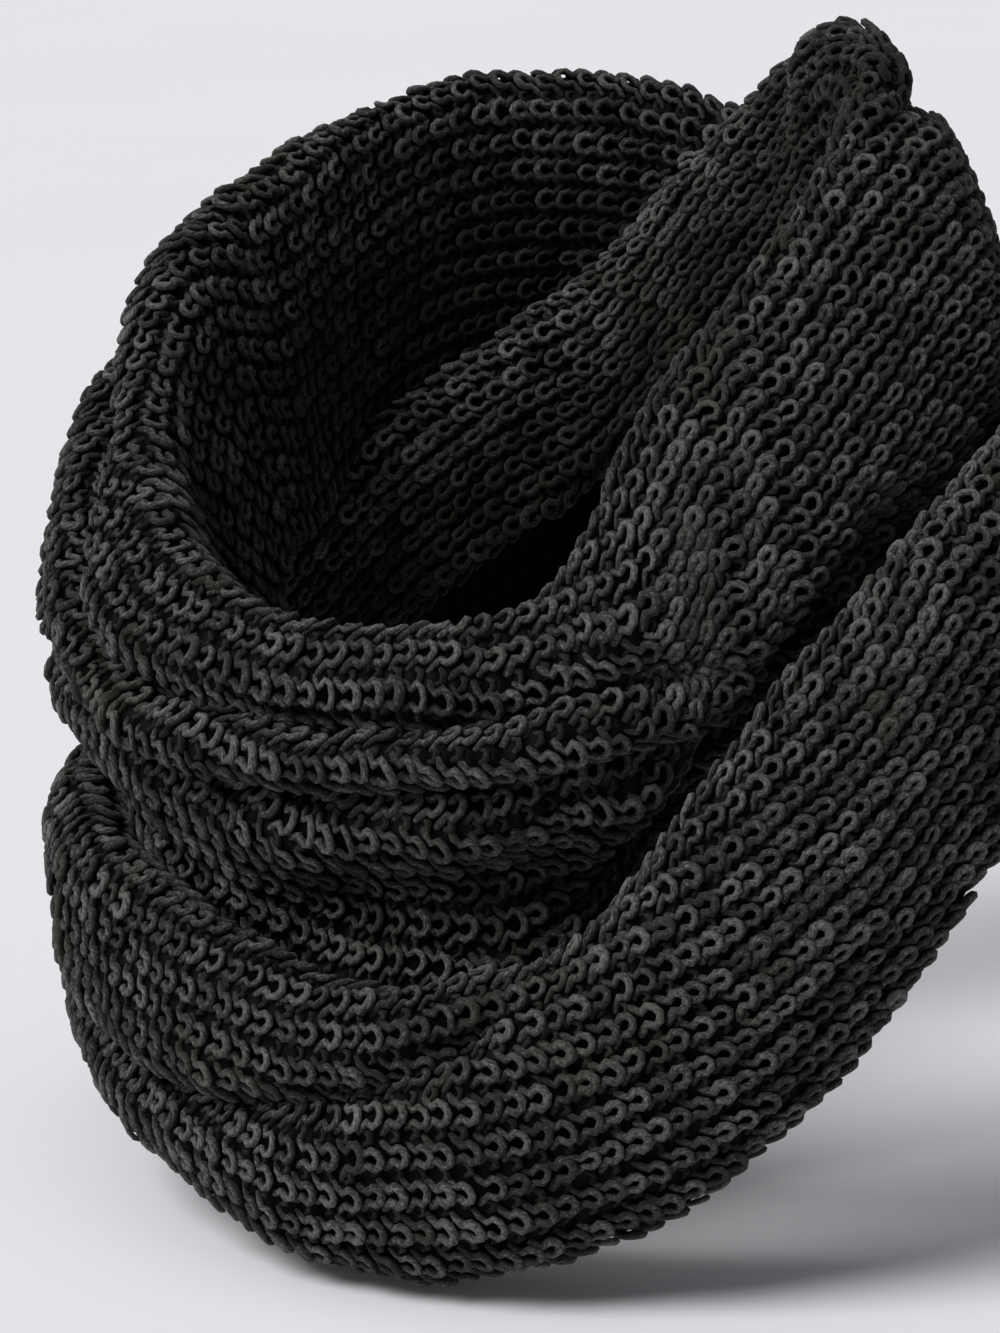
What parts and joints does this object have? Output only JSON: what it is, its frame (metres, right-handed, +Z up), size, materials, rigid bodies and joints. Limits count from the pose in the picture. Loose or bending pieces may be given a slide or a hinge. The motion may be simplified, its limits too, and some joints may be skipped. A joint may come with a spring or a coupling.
{
  "type": "infinity scarf",
  "caption": "Closed band of chunky rib knit wound twice round a neck, with rolled rims, draped folds and an open neck.",
  "frame": {"origin": "on the neck's axis, half way up the wound scarf, where the neck holds it", "axes": "+Z up along the neck, -Y the wearer's front, +X the wearer's left"},
  "size_m": [0.2871, 0.2775, 0.284],
  "materials": {
    "charcoal_knit": "marled charcoal wool, matt and slightly hairy"
  },
  "bodies": {
    "root": {"front_upper": "charcoal_knit", "back_inner": "charcoal_knit", "front_lower": "charcoal_knit", "back_outer": "charcoal_knit"}
  },
  "joints": []
}
